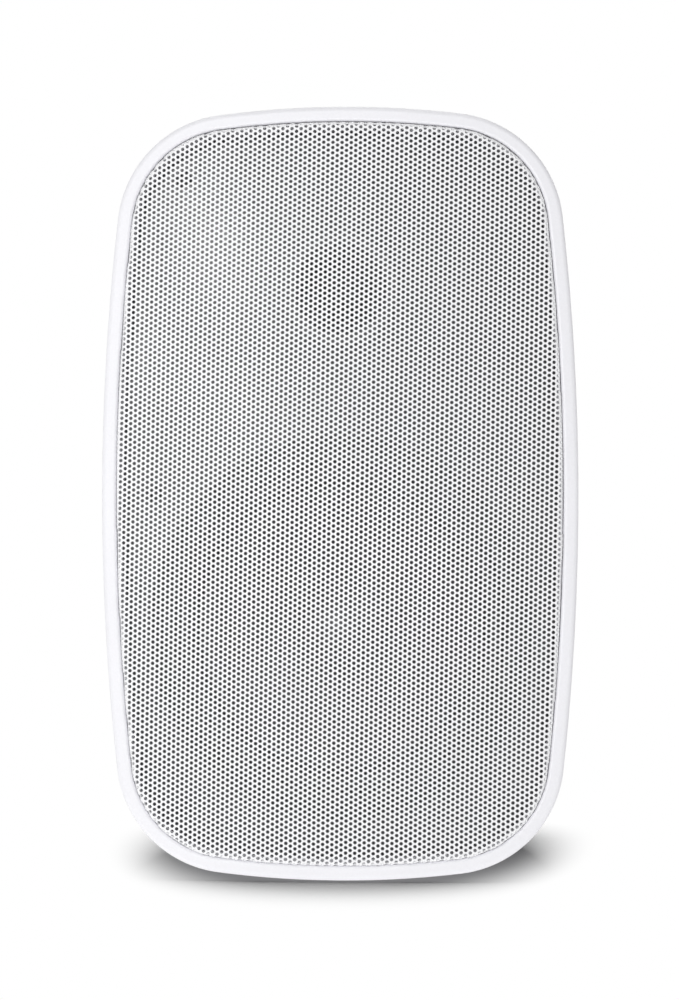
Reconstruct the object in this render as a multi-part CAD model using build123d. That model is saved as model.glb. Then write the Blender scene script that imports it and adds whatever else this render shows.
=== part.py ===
from build123d import *
import os
from math import cos, hypot, radians, sin, sqrt

# Weatherproof two-way patio speaker: a moulded tub with a domed perforated grille.
# Millimetres. X to the viewer's right, Y from front to back, Z up from the resting face.
# A depth is a distance behind the grille's highest point.

# Cabinet
WIDTH = 173.0
HEIGHT = 280.0
DEPTH = 165.0
SIDE_RADIUS = 920.0
CROWN_RADIUS = 385.0
CORNER_RADIUS = 42.0
BACK_TAPER = 24.0
BACK_CORNER_RADIUS = 36.0
BACK_ROUND = 22.0
BAND_DEPTH = 14.0
WALL = 3.2
BULGE_RADIUS_ACROSS = 560.0
BULGE_RADIUS_UP = 2400.0

# Rim round the grille
RIM_WIDTH = 5.4
RIM_DROP = 0.7
RIM_OUTER_ROUND = 1.8
RIM_INNER_ROUND = 1.0

# Grille: hole and pitch of the sheet, and how much coarser its openings are drawn
SHEET = 1.0
SHEET_EDGE_ROUND = 0.9
GRILLE_GAP = 0.2
GRILLE_SHELF_DEPTH = 12.5
GRILLE_SHELF_SPARE = 0.3
GRILLE_HOLE = 1.06
GRILLE_PITCH = 1.93
GRILLE_COARSENESS = 10
GRILLE_TURN = -1.2
GRILLE_BORDER = 4.0

# Baffle and what seals and holds it
BAFFLE_FRONT = 20.0
BAFFLE_THICKNESS = 5.0
BAFFLE_CLEARANCE = 0.4
BAFFLE_GASKET = 1.2
LEDGE_WIDTH = 4.0
LEDGE_THICKNESS = 5.0
BAFFLE_SCREW_SIDE_INSET = 17.5
BAFFLE_SCREW_CORNER_INSET = 28.5
BAFFLE_SCREW_END_INSET = 24.0
BOSS_RADIUS = 4.5
BOSS_LENGTH = 16.0
BOSS_WEB = 4.0

# Self-tapping screws, with a pan head and a plain shank
SCREW_HEAD_RADIUS = 3.0
SCREW_HEAD_HEIGHT = 2.0
SCREW_SHANK_RADIUS = 1.5
BAFFLE_SCREW_LENGTH = 18.0
WOOFER_SCREW_LENGTH = 11.0
SCREW_HOLE_CLEARANCE = 0.25
SCREW_BITE = 0.02

# Seats for a yoke bracket, top and bottom, with a threaded brass insert in each
SEAT_WIDTH = 60.0
SEAT_LENGTH = 80.0
SEAT_DEPTH = 65.0
SEAT_CORNER = 10.0
SEAT_HEIGHT = 14.0
INSERT_RADIUS = 4.5
INSERT_LENGTH = 12.0
INSERT_RECESS = 0.4
INSERT_FIT = 0.02
THREAD_RADIUS = 2.5
INSERT_BOSS_RADIUS = 9.0
INSERT_BOSS_END = 3.0

# Woofer
WOOFER_Z = 91.0
FRAME_RADIUS = 70.0
FLANGE_THICKNESS = 3.0
FLANGE_STEP = 0.8
FRAME_WALL = 1.6
WOOFER_GASKET = 1.0
WOOFER_CUTOUT_CLEARANCE = 0.7
WOOFER_SCREW_RADIUS = 66.9
WOOFER_SCREWS = 4
BASKET_MOUTH_RADIUS = 61.0
BASKET_FLOOR_RADIUS = 37.0
BASKET_LANDING = 4.0
BASKET_DEPTH = 32.0
BASKET_WINDOWS = 6
BASKET_SPOKE = 14.0
WINDOW_MARGIN = 4.0
SURROUND_WIDTH = 9.5
SURROUND_LIP = 3.0
SURROUND_SHEET = 0.6
SURROUND_RISE = 4.5
CONE_EDGE_DROP = 0.8
CONE_DEPTH = 20.0
CONE_SHEET = 0.8
DUST_CAP_RADIUS = 19.0
DUST_CAP_RISE = 7.0
SPIDER_SHEET = 0.8
SPIDER_NECK = 1.6
SPIDER_WAVES = 4
SPIDER_WAVE_RISE = 0.9
GLUE = 0.1

# Woofer motor
POLE_RADIUS = 12.4
FORMER_CLEARANCE = 0.35
FORMER_SHEET = 0.3
WINDING = 0.55
GAP_CLEARANCE = 0.4
TOP_PLATE_RADIUS = 36.0
TOP_PLATE_THICKNESS = 6.0
MAGNET_RADIUS = 42.0
MAGNET_BORE = 20.0
MAGNET_THICKNESS = 14.0
BACK_PLATE_RADIUS = 39.0
BACK_PLATE_THICKNESS = 5.0
WINDING_LENGTH = 12.0

# Tweeter
TWEETER_DROP = 65.0
FACEPLATE_RADIUS = 21.0
FACEPLATE_THICKNESS = 2.5
FACEPLATE_FLARE = 2.6
TWEETER_GASKET = 0.6
COLLAR_RADIUS = 16.5
COLLAR_LENGTH = 5.6
TWEETER_CUTOUT_CLEARANCE = 0.5
DOME_RADIUS = 12.4
DOME_RISE = 5.0
DOME_SHEET = 0.5
ROLL_WIDTH = 2.0
ROLL_RISE = 0.9
TWEETER_POLE_RADIUS = 11.4
TWEETER_POLE_THICKNESS = 3.0
TWEETER_MAGNET_RADIUS = 10.9
TWEETER_MAGNET_THICKNESS = 7.0
TWEETER_COIL_CLEARANCE = 0.4
TWEETER_COIL_SHEET = 0.5
TWEETER_COIL_LENGTH = 6.5
TWEETER_CUP_FLOOR = 3.0

# Terminal cup, sunk into the back
TERMINAL_Z = 74.0
TERMINAL_SINK = 2.5
TERMINAL_PAD = 5.0
TERMINAL_PAD_MARGIN = 4.0
TERMINAL_SCREW_LENGTH = 7.5
TERMINAL_FLANGE_WIDTH = 66.0
TERMINAL_FLANGE_HEIGHT = 56.0
TERMINAL_FLANGE_THICKNESS = 2.5
TERMINAL_CORNER = 5.0
TERMINAL_EDGE_ROUND = 0.8
TERMINAL_GASKET = 0.8
TERMINAL_CLEARANCE = 0.3
CUP_WIDTH = 50.0
CUP_HEIGHT = 40.0
CUP_DEPTH = 15.5
CUP_WALL = 2.0
CUP_FLOOR = 2.5
BLOCK_WIDTH = 44.0
BLOCK_HEIGHT = 26.0
BLOCK_REACH = 10.0
POLE_SPACING = 22.0
LEVER_WIDTH = 9.0
LEVER_THICKNESS = 5.0
LEVER_SIDE_CLEARANCE = 0.35
LEVER_END_CLEARANCE = 0.5
LEVER_PRESS_ROOM = 4.0
LEVER_TAB = 4.5
LEVER_TAB_RISE = 2.0
LEVER_TAB_ROUND = 1.5
PIN_RADIUS = 1.2
PIN_FIT = 0.03
LEVER_PIN_FIT = 0.06
PIN_RISE = 4.5
WIRE_HOLE_RADIUS = 1.6
WIRE_HOLE_DROP = 6.5
TAB_WIDTH = 4.8
TAB_SHEET = 0.8
TAB_LENGTH = 11.0
TERMINAL_SCREW_INSET = 4.5

# Crossover, on posts of the back wall
CROSSOVER_Z = 130.0
BOARD_WIDTH = 72.0
BOARD_HEIGHT = 46.0
BOARD_THICKNESS = 1.6
POST_LENGTH = 9.8
POST_RADIUS = 3.5
POST_INSET = 5.0
BOARD_SCREW_LENGTH = 8.0
INDUCTOR_RADIUS = 15.0
INDUCTOR_BORE = 6.5
INDUCTOR_HEIGHT = 13.0
INDUCTOR_X = -17.0
CAPACITOR_RADIUS = 6.5
CAPACITOR_LENGTH = 26.0
CAPACITOR_X = 16.0
CAPACITOR_RISE = 9.0
RESISTOR_WIDTH = 30.0
RESISTOR_SIDE = 9.0
RESISTOR_X = 16.0
RESISTOR_DROP = 9.0

# Damping pad on the back wall
WADDING_DROP = 72.0
WADDING_WIDTH = 84.0
WADDING_HEIGHT = 52.0
WADDING_THICKNESS = 20.0
WADDING_CORNER = 12.0

# Places that follow from the sizes above
FRONT_Y = -DEPTH / 2
MID_Z = HEIGHT / 2
GRILLE_INSET = RIM_WIDTH + GRILLE_GAP
SHELF_INSET = GRILLE_INSET + SHEET + GRILLE_SHELF_SPARE
BAFFLE_BACK = BAFFLE_FRONT + BAFFLE_THICKNESS
LEDGE_DEPTH = BAFFLE_BACK + BAFFLE_GASKET
LEDGE_BACK = LEDGE_DEPTH + LEDGE_THICKNESS
INNER_BACK = DEPTH - WALL
TWEETER_Z = HEIGHT - TWEETER_DROP
WADDING_Z = HEIGHT - WADDING_DROP

FLANGE_BACK = BAFFLE_FRONT - WOOFER_GASKET
FLANGE_FRONT = FLANGE_BACK - FLANGE_THICKNESS
FLANGE_SEAT = FLANGE_FRONT + FLANGE_STEP
BASKET_FLOOR = FLANGE_FRONT + BASKET_DEPTH
BASKET_LANDING_FRONT = BASKET_FLOOR - FRAME_WALL - BASKET_LANDING
CONE_FRONT = FLANGE_SEAT + CONE_EDGE_DROP
CONE_RADIUS = BASKET_MOUTH_RADIUS - SURROUND_WIDTH
CONE_BACK = CONE_FRONT + CONE_DEPTH
FORMER_BORE = POLE_RADIUS + FORMER_CLEARANCE
FORMER_RADIUS = FORMER_BORE + FORMER_SHEET
WINDING_RADIUS = FORMER_RADIUS + WINDING
TOP_PLATE_BACK = BASKET_FLOOR + TOP_PLATE_THICKNESS
MAGNET_BACK = TOP_PLATE_BACK + MAGNET_THICKNESS

FACEPLATE_BACK = BAFFLE_FRONT - TWEETER_GASKET
FACEPLATE_FRONT = FACEPLATE_BACK - FACEPLATE_THICKNESS
COLLAR_BACK = FACEPLATE_BACK + COLLAR_LENGTH
ROLL_OUTER = DOME_RADIUS + ROLL_WIDTH
DOME_BASE = FACEPLATE_BACK + DOME_SHEET
TWEETER_COIL_BORE = TWEETER_POLE_RADIUS + TWEETER_COIL_CLEARANCE
TWEETER_COIL_RADIUS = TWEETER_COIL_BORE + TWEETER_COIL_SHEET
TWEETER_GAP_RADIUS = TWEETER_COIL_RADIUS + TWEETER_COIL_CLEARANCE
TWEETER_MAGNET_BACK = COLLAR_BACK + TWEETER_POLE_THICKNESS + TWEETER_MAGNET_THICKNESS

TERMINAL_FACE = DEPTH - TERMINAL_SINK
CUP_FLOOR_DEPTH = TERMINAL_FACE - CUP_DEPTH
BLOCK_FACE = CUP_FLOOR_DEPTH + BLOCK_REACH
LEVER_END_RADIUS = LEVER_THICKNESS / 2
SLOT_BACK = CUP_FLOOR_DEPTH + CUP_WALL
PIN_DEPTH = SLOT_BACK + LEVER_END_CLEARANCE + LEVER_END_RADIUS
PIN_Z = TERMINAL_Z + PIN_RISE
SLOT_TOP = PIN_Z + LEVER_END_RADIUS + LEVER_SIDE_CLEARANCE
SLOT_BOTTOM = PIN_Z - LEVER_END_RADIUS - LEVER_PRESS_ROOM
TERMINAL_SEAT = TERMINAL_FACE - TERMINAL_FLANGE_THICKNESS - TERMINAL_GASKET

BOARD_BACK = INNER_BACK - POST_LENGTH
BOARD_FRONT = BOARD_BACK - BOARD_THICKNESS
PART_FOLDER = "parts"


# Helpers

def at(depth):
    """The Y of a depth behind the grille's highest point."""
    return FRONT_Y + depth


def slab(sketch, start, end):
    """A front-view sketch, X across and Z up, made solid between two depths."""
    plane = Plane(origin=(0, at(end), 0), x_dir=(1, 0, 0), z_dir=(0, -1, 0))
    return extrude(plane * sketch, end - start)


def disc(radius, start, end, x, z):
    """A round solid along Y."""
    return slab(Pos(x, z) * Circle(radius), start, end)


def ring(bore, radius, start, end, x, z):
    """A round solid along Y with a bore through it."""
    return slab(Pos(x, z) * (Circle(radius) - Circle(bore)), start, end)


def turned(profile, z):
    """A solid of revolution about Y, from closed (radius, depth) points."""
    corners = [(radius, at(depth)) for radius, depth in profile]
    section = Plane(origin=(0, 0, z)) * make_face(Polyline(*corners, close=True))
    return revolve(section, Axis((0, 0, z), (0, 1, 0)))


def cap_shell(radius, rise, sheet, base, z):
    """A thin domed cap that bulges forwards from its base depth."""
    hollow = radius * sqrt(1 - sheet / rise)
    crown = at(base - rise)
    under = crown + sheet
    section = make_face([
        Bezier((0, crown), (radius / 2, crown), (radius, at(base))),
        Line((radius, at(base)), (hollow, at(base))),
        Bezier((hollow, at(base)), (hollow / 2, under), (0, under)),
        Line((0, under), (0, crown)),
    ])
    return revolve(Plane(origin=(0, 0, z)) * section, Axis((0, 0, z), (0, 1, 0)))


def span(seat, length, inwards):
    """The two depths of a stretch that starts at a seat, the nearer one first."""
    return (seat, seat + length) if inwards else (seat - length, seat)


def screw(x, z, seat, length, inwards=True):
    """A pan-head screw, driven from the front or from the back, with its head on a seat."""
    head = disc(SCREW_HEAD_RADIUS, *span(seat, SCREW_HEAD_HEIGHT, not inwards), x, z)
    return head + disc(SCREW_SHANK_RADIUS, *span(seat, length, inwards), x, z)


def screw_hole(x, z, seat, length, inwards=True, spare=SCREW_BITE):
    """The hole that a screw's shank goes into."""
    return disc(SCREW_SHANK_RADIUS + spare, *span(seat, length, inwards), x, z)


def group(solids):
    """Like pieces in one node."""
    return Compound(children=list(solids))


# Front outline: two bowed sides and two crowns, with a tangent arc in each corner

def outline(inset=0.0, width=WIDTH, height=HEIGHT, corner=CORNER_RADIUS):
    half_w = width / 2 - inset
    half_h = height / 2 - inset
    side = SIDE_RADIUS - inset
    crown = CROWN_RADIUS - inset
    round_off = corner - inset
    side_x = half_w - side
    crown_z = half_h - crown
    span = hypot(side_x, crown_z)
    along = ((side - round_off) ** 2 - (crown - round_off) ** 2 + span**2) / (2 * span)
    off = sqrt((side - round_off) ** 2 - along**2)
    centre_x = side_x + (-side_x * along - crown_z * off) / span
    centre_z = (crown_z * along - side_x * off) / span
    side_share = side / (side - round_off)
    side_end = (side_x + (centre_x - side_x) * side_share, centre_z * side_share)
    crown_share = crown / (crown - round_off)
    crown_end = (centre_x * crown_share, crown_z + (centre_z - crown_z) * crown_share)
    reach_x = (side_end[0] + crown_end[0]) / 2 - centre_x
    reach_z = (side_end[1] + crown_end[1]) / 2 - centre_z
    reach = round_off / hypot(reach_x, reach_z)
    corner_mid = (centre_x + reach_x * reach, centre_z + reach_z * reach)
    edges = []
    for sx in (1, -1):
        edges.append(ThreePointArc(
            (sx * side_end[0], -side_end[1]),
            (sx * half_w, 0),
            (sx * side_end[0], side_end[1]),
        ))
    for sz in (1, -1):
        edges.append(ThreePointArc(
            (-crown_end[0], sz * crown_end[1]),
            (0, sz * half_h),
            (crown_end[0], sz * crown_end[1]),
        ))
        for sx in (1, -1):
            edges.append(ThreePointArc(
                (sx * side_end[0], sz * side_end[1]),
                (sx * corner_mid[0], sz * corner_mid[1]),
                (sx * crown_end[0], sz * crown_end[1]),
            ))
    return Pos(0, MID_Z) * make_face(edges)


def bulge(drop):
    """Everything behind the domed front, moved back by a drop."""
    sag = WIDTH**2 / (2 * BULGE_RADIUS_ACROSS)
    edge = at(drop + sag)
    back = at(drop + DEPTH)
    section = make_face([
        Bezier((-WIDTH, edge), (0, at(drop - sag)), (WIDTH, edge)),
        Polyline((WIDTH, edge), (WIDTH, back), (-WIDTH, back), (-WIDTH, edge)),
    ])
    axis = Axis((0, at(drop + BULGE_RADIUS_UP), MID_Z), (1, 0, 0))
    turn = 2 * HEIGHT / BULGE_RADIUS_UP / radians(1)
    flat = Plane(origin=(0, 0, MID_Z)) * section
    return revolve(flat.rotate(axis, -turn / 2), axis, turn)


def tub(inset):
    """The tub behind the rim: its walls curve in towards a rounded back."""
    sections = []
    for share in (0, 0.5, 1):
        depth = BAND_DEPTH + (DEPTH - inset - BAND_DEPTH) * share
        shrink = BACK_TAPER * share**2
        corner = CORNER_RADIUS - (CORNER_RADIUS - BACK_CORNER_RADIUS) * share**2
        plane = Plane(origin=(0, at(depth), 0), x_dir=(1, 0, 0), z_dir=(0, -1, 0))
        sections.append(plane * outline(inset, WIDTH - 2 * shrink, HEIGHT - 2 * shrink, corner))
    walls = loft(sections)
    back = walls.faces().sort_by(Axis.Y)[-1]
    return fillet(back.edges(), BACK_ROUND - inset)


# Places of the screws

BAFFLE_SCREW_PLACES = [
    (sx * (WIDTH / 2 - BAFFLE_SCREW_SIDE_INSET), MID_Z) for sx in (1, -1)
] + [
    (sx * (WIDTH / 2 - BAFFLE_SCREW_CORNER_INSET), MID_Z + sz * (HEIGHT / 2 - BAFFLE_SCREW_END_INSET))
    for sx in (1, -1)
    for sz in (1, -1)
]
WOOFER_SCREW_PLACES = [
    (place.position.X, WOOFER_Z + place.position.Y)
    for place in PolarLocations(WOOFER_SCREW_RADIUS, WOOFER_SCREWS, 45)
]
TERMINAL_SCREW_PLACES = [
    (
        sx * (TERMINAL_FLANGE_WIDTH / 2 - TERMINAL_SCREW_INSET),
        TERMINAL_Z + sz * (TERMINAL_FLANGE_HEIGHT / 2 - TERMINAL_SCREW_INSET),
    )
    for sx in (1, -1)
    for sz in (1, -1)
]
BOARD_SCREW_PLACES = [
    (sx * (BOARD_WIDTH / 2 - POST_INSET), CROSSOVER_Z + sz * (BOARD_HEIGHT / 2 - POST_INSET))
    for sx in (1, -1)
    for sz in (1, -1)
]


# Cabinet

def cabinet_band():
    """The front band, with its lip rounded outside and inside."""
    band = slab(outline(), 0, BAND_DEPTH) & bulge(RIM_DROP)
    lip = band.faces().sort_by(Axis.Y)[0]
    band = fillet(lip.edges(), RIM_OUTER_ROUND)
    band = band - slab(outline(RIM_WIDTH), 0, GRILLE_SHELF_DEPTH)
    lip = band.faces().sort_by(Axis.Y)[0]
    return fillet(lip.inner_wires()[0].edges(), RIM_INNER_ROUND)


def seat_frame(end, way):
    """A place in the middle of a bracket seat, looking into the cabinet."""
    return Plane(origin=(0, at(SEAT_DEPTH), end), x_dir=(1, 0, 0), z_dir=(0, 0, way)).location


def bracket_seat(end, way):
    """A flat moulded pad that fills out the cabinet's crown."""
    return seat_frame(end, way) * extrude(
        RectangleRounded(SEAT_WIDTH, SEAT_LENGTH, SEAT_CORNER), SEAT_HEIGHT
    )


def insert_boss(end, way):
    """The boss inside a bracket seat that holds its insert."""
    length = INSERT_RECESS + INSERT_LENGTH + INSERT_BOSS_END
    return seat_frame(end, way) * extrude(Circle(INSERT_BOSS_RADIUS), length)


def insert_hole(end, way):
    length = INSERT_RECESS + INSERT_LENGTH
    return seat_frame(end, way) * extrude(Circle(INSERT_RADIUS + INSERT_FIT), length)


def baffle_boss(x, z):
    """A screw boss with a web out to the cabinet's wall."""
    lean = 0 if z == MID_Z else 45
    side = 1 if x > 0 else -1
    up = 1 if z > MID_Z else -1
    way = lean * up if side > 0 else 180 - lean * up
    reach = WIDTH / 4
    web = Pos(x, z) * Rot(0, 0, way) * Pos(reach / 2, 0) * Rectangle(reach, BOSS_WEB)
    boss = slab(web + Pos(x, z) * Circle(BOSS_RADIUS), LEDGE_DEPTH, LEDGE_DEPTH + BOSS_LENGTH)
    return boss


def terminal_outline(margin):
    return Pos(0, TERMINAL_Z) * RectangleRounded(
        TERMINAL_FLANGE_WIDTH + 2 * margin,
        TERMINAL_FLANGE_HEIGHT + 2 * margin,
        TERMINAL_CORNER + margin,
    )


def cup_outline(margin):
    return Pos(0, TERMINAL_Z) * RectangleRounded(
        CUP_WIDTH + 2 * margin, CUP_HEIGHT + 2 * margin, TERMINAL_CORNER + margin
    )


def cabinet_shell():
    body = tub(0)
    ends = ((0, 1), (HEIGHT, -1))
    shell = cabinet_band() + body
    for end, way in ends:
        shell = shell + bracket_seat(end, way)
    shell = shell - slab(outline(SHELF_INSET), 0, LEDGE_DEPTH)
    shell = shell - slab(outline(SHELF_INSET + LEDGE_WIDTH), LEDGE_DEPTH, LEDGE_BACK)
    behind_ledge = slab(Pos(0, MID_Z) * Rectangle(WIDTH, HEIGHT), LEDGE_BACK, DEPTH)
    shell = shell - (tub(WALL) & behind_ledge)
    for x, z in BAFFLE_SCREW_PLACES:
        shell = shell + (baffle_boss(x, z) & body)
        shell = shell - screw_hole(x, z, BAFFLE_FRONT, BAFFLE_SCREW_LENGTH)
    for end, way in ends:
        shell = shell + insert_boss(end, way) - insert_hole(end, way)
    shell = shell + slab(terminal_outline(TERMINAL_PAD_MARGIN), TERMINAL_SEAT - TERMINAL_PAD, INNER_BACK)
    shell = shell - slab(terminal_outline(TERMINAL_CLEARANCE), TERMINAL_SEAT, DEPTH)
    shell = shell - slab(cup_outline(CUP_WALL + TERMINAL_CLEARANCE), CUP_FLOOR_DEPTH, DEPTH)
    for x, z in TERMINAL_SCREW_PLACES:
        shell = shell - screw_hole(x, z, TERMINAL_FACE, TERMINAL_SCREW_LENGTH, inwards=False)
    for x, z in BOARD_SCREW_PLACES:
        shell = shell + disc(POST_RADIUS, BOARD_BACK, INNER_BACK, x, z)
        shell = shell - screw_hole(x, z, BOARD_FRONT, BOARD_SCREW_LENGTH)
    return shell


def bracket_inserts():
    inserts = []
    for end, way in ((0, 1), (HEIGHT, -1)):
        sleeve = extrude(Circle(INSERT_RADIUS) - Circle(THREAD_RADIUS), INSERT_LENGTH)
        inserts.append(seat_frame(end, way) * Pos(0, 0, INSERT_RECESS) * sleeve)
    return group(inserts)


# Grille: a domed pan of perforated sheet that stands on a shelf behind the rim

def domed_plug(inset, drop):
    return slab(outline(inset), 0, GRILLE_SHELF_DEPTH) & bulge(drop)


def grille_hole_places():
    """A staggered lattice with its close rows upright, kept clear of the turned edge."""
    pitch = GRILLE_PITCH * GRILLE_COARSENESS
    column = pitch * sin(radians(60))
    margin = GRILLE_INSET + GRILLE_BORDER + GRILLE_HOLE * GRILLE_COARSENESS / 2
    field = outline(margin).face()
    turn = radians(GRILLE_TURN)
    columns = int(WIDTH / column / 2) + 1
    rows = int(HEIGHT / pitch / 2) + 1
    places = []
    for i in range(-columns, columns + 1):
        for j in range(-rows, rows + 1):
            x = i * column
            rise = (j + 0.5 * (i % 2)) * pitch
            across = x * cos(turn) - rise * sin(turn)
            up = MID_Z + x * sin(turn) + rise * cos(turn)
            if field.is_inside(Vector(across, up, 0)):
                places.append(Pos(across, up))
    return places


def grille():
    pan = domed_plug(GRILLE_INSET, 0)
    crown = pan.faces().sort_by(Axis.Y)[0]
    pan = fillet(crown.edges(), SHEET_EDGE_ROUND) - domed_plug(GRILLE_INSET + SHEET, SHEET)
    opening = RegularPolygon(GRILLE_HOLE * GRILLE_COARSENESS / 2, 6, rotation=GRILLE_TURN)
    openings = Sketch() + [place * opening for place in grille_hole_places()]
    return pan - slab(openings, 0, GRILLE_SHELF_DEPTH)


# Baffle

def front_baffle():
    plate = slab(outline(SHELF_INSET + BAFFLE_CLEARANCE), BAFFLE_FRONT, BAFFLE_BACK)
    woofer_cutout = BASKET_MOUTH_RADIUS + FRAME_WALL + WOOFER_CUTOUT_CLEARANCE
    plate = plate - disc(woofer_cutout, BAFFLE_FRONT, BAFFLE_BACK, 0, WOOFER_Z)
    tweeter_cutout = COLLAR_RADIUS + TWEETER_CUTOUT_CLEARANCE
    plate = plate - disc(tweeter_cutout, BAFFLE_FRONT, BAFFLE_BACK, 0, TWEETER_Z)
    for x, z in BAFFLE_SCREW_PLACES:
        plate = plate - screw_hole(x, z, BAFFLE_FRONT, BAFFLE_SCREW_LENGTH, spare=SCREW_HOLE_CLEARANCE)
    for x, z in WOOFER_SCREW_PLACES:
        plate = plate - screw_hole(x, z, FLANGE_FRONT, WOOFER_SCREW_LENGTH)
    return plate


def baffle_gasket():
    outer = outline(SHELF_INSET + BAFFLE_CLEARANCE)
    return slab(outer - outline(SHELF_INSET + LEDGE_WIDTH), BAFFLE_BACK, LEDGE_DEPTH)


def baffle_screws():
    return group(screw(x, z, BAFFLE_FRONT, BAFFLE_SCREW_LENGTH) for x, z in BAFFLE_SCREW_PLACES)


# Woofer

def woofer_frame():
    mouth = BASKET_MOUTH_RADIUS
    floor = BASKET_FLOOR_RADIUS
    step = mouth + SURROUND_LIP + GLUE
    landing = floor + BASKET_LANDING
    bore = WINDING_RADIUS + GAP_CLEARANCE + FRAME_WALL
    frame = turned([
        (FRAME_RADIUS, FLANGE_FRONT),
        (FRAME_RADIUS, FLANGE_BACK),
        (mouth + FRAME_WALL, FLANGE_BACK),
        (landing + FRAME_WALL, BASKET_LANDING_FRONT + FRAME_WALL),
        (floor + FRAME_WALL, BASKET_LANDING_FRONT + FRAME_WALL),
        (floor + FRAME_WALL, BASKET_FLOOR),
        (bore, BASKET_FLOOR),
        (bore, BASKET_FLOOR - FRAME_WALL),
        (floor, BASKET_FLOOR - FRAME_WALL),
        (floor, BASKET_LANDING_FRONT),
        (landing, BASKET_LANDING_FRONT),
        (mouth, FLANGE_BACK),
        (mouth, FLANGE_SEAT),
        (step, FLANGE_SEAT),
        (step, FLANGE_FRONT),
    ], WOOFER_Z)
    windows = Circle(mouth - WINDOW_MARGIN) - Circle(landing + WINDOW_MARGIN)
    for spoke in range(BASKET_WINDOWS // 2):
        turn = spoke * 360 / BASKET_WINDOWS
        windows = windows - Rot(0, 0, turn) * Rectangle(2 * FRAME_RADIUS, BASKET_SPOKE)
    frame = frame - slab(Pos(0, WOOFER_Z) * windows, FLANGE_BACK, BASKET_FLOOR)
    for x, z in WOOFER_SCREW_PLACES:
        frame = frame - screw_hole(x, z, FLANGE_FRONT, WOOFER_SCREW_LENGTH, spare=SCREW_HOLE_CLEARANCE)
    return frame


def woofer_gasket():
    bore = BASKET_MOUTH_RADIUS + FRAME_WALL + WOOFER_CUTOUT_CLEARANCE
    seal = ring(bore, FRAME_RADIUS, FLANGE_BACK, BAFFLE_FRONT, 0, WOOFER_Z)
    for x, z in WOOFER_SCREW_PLACES:
        seal = seal - screw_hole(x, z, FLANGE_FRONT, WOOFER_SCREW_LENGTH, spare=SCREW_HOLE_CLEARANCE)
    return seal


def woofer_screws():
    return group(screw(x, z, FLANGE_FRONT, WOOFER_SCREW_LENGTH) for x, z in WOOFER_SCREW_PLACES)


def woofer_surround():
    """A half roll between the frame and the cone, with a glued lip each side."""
    front = FLANGE_SEAT - SURROUND_SHEET
    edge = CONE_FRONT - GLUE - SURROUND_SHEET
    lip = BASKET_MOUTH_RADIUS + SURROUND_LIP
    inner_lip = CONE_RADIUS - SURROUND_LIP
    top = (BASKET_MOUTH_RADIUS + CONE_RADIUS) / 2

    def roll(shift):
        return [
            Line((lip, at(front + shift)), (BASKET_MOUTH_RADIUS, at(front + shift))),
            ThreePointArc(
                (BASKET_MOUTH_RADIUS, at(front + shift)),
                (top, at(front + shift - SURROUND_RISE)),
                (CONE_RADIUS, at(edge + shift)),
            ),
            Line((CONE_RADIUS, at(edge + shift)), (inner_lip, at(edge + shift))),
        ]

    section = make_face(roll(0) + roll(SURROUND_SHEET) + [
        Line((lip, at(front)), (lip, at(front + SURROUND_SHEET))),
        Line((inner_lip, at(edge)), (inner_lip, at(edge + SURROUND_SHEET))),
    ])
    return revolve(Plane(origin=(0, 0, WOOFER_Z)) * section, Axis((0, 0, WOOFER_Z), (0, 1, 0)))


def woofer_cone():
    neck = FORMER_RADIUS + GLUE
    flat = CONE_RADIUS - SURROUND_LIP
    return turned([
        (CONE_RADIUS, CONE_FRONT),
        (flat, CONE_FRONT),
        (neck, CONE_BACK),
        (neck, CONE_BACK + CONE_SHEET),
        (flat, CONE_FRONT + CONE_SHEET),
        (CONE_RADIUS, CONE_FRONT + CONE_SHEET),
    ], WOOFER_Z)


def woofer_dust_cap():
    flat = CONE_RADIUS - SURROUND_LIP
    slope = CONE_DEPTH / (flat - FORMER_RADIUS - GLUE)
    base = CONE_FRONT + (flat - DUST_CAP_RADIUS) * slope - GLUE
    return cap_shell(DUST_CAP_RADIUS, DUST_CAP_RISE, CONE_SHEET, base, WOOFER_Z)


def woofer_spider():
    """A corrugated disc between the basket's landing and the neck of the cone."""
    outer = BASKET_FLOOR_RADIUS + BASKET_LANDING - GLUE
    inner = FORMER_RADIUS + GLUE
    start = inner + SPIDER_NECK
    fold = (BASKET_FLOOR_RADIUS - start) / (2 * SPIDER_WAVES)

    def corrugation(depth):
        folds = [Line((inner, at(depth)), (start, at(depth)))]
        for count in range(2 * SPIDER_WAVES):
            near = start + count * fold
            crest = at(depth + SPIDER_WAVE_RISE * (-1) ** count)
            folds.append(ThreePointArc((near, at(depth)), (near + fold / 2, crest), (near + fold, at(depth))))
        return folds + [Line((BASKET_FLOOR_RADIUS, at(depth)), (outer, at(depth)))]

    front = BASKET_LANDING_FRONT - SPIDER_SHEET
    section = make_face(corrugation(front) + corrugation(BASKET_LANDING_FRONT) + [
        Line((inner, at(front)), (inner, at(BASKET_LANDING_FRONT))),
        Line((outer, at(front)), (outer, at(BASKET_LANDING_FRONT))),
    ])
    return revolve(Plane(origin=(0, 0, WOOFER_Z)) * section, Axis((0, 0, WOOFER_Z), (0, 1, 0)))


def woofer_voice_coil():
    middle = BASKET_FLOOR + TOP_PLATE_THICKNESS / 2
    start = middle - WINDING_LENGTH / 2
    end = middle + WINDING_LENGTH / 2
    return turned([
        (FORMER_BORE, CONE_BACK),
        (FORMER_RADIUS, CONE_BACK),
        (FORMER_RADIUS, start),
        (WINDING_RADIUS, start),
        (WINDING_RADIUS, end),
        (FORMER_BORE, end),
    ], WOOFER_Z)


def woofer_top_plate():
    bore = WINDING_RADIUS + GAP_CLEARANCE
    return ring(bore, TOP_PLATE_RADIUS, BASKET_FLOOR, TOP_PLATE_BACK, 0, WOOFER_Z)


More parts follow.
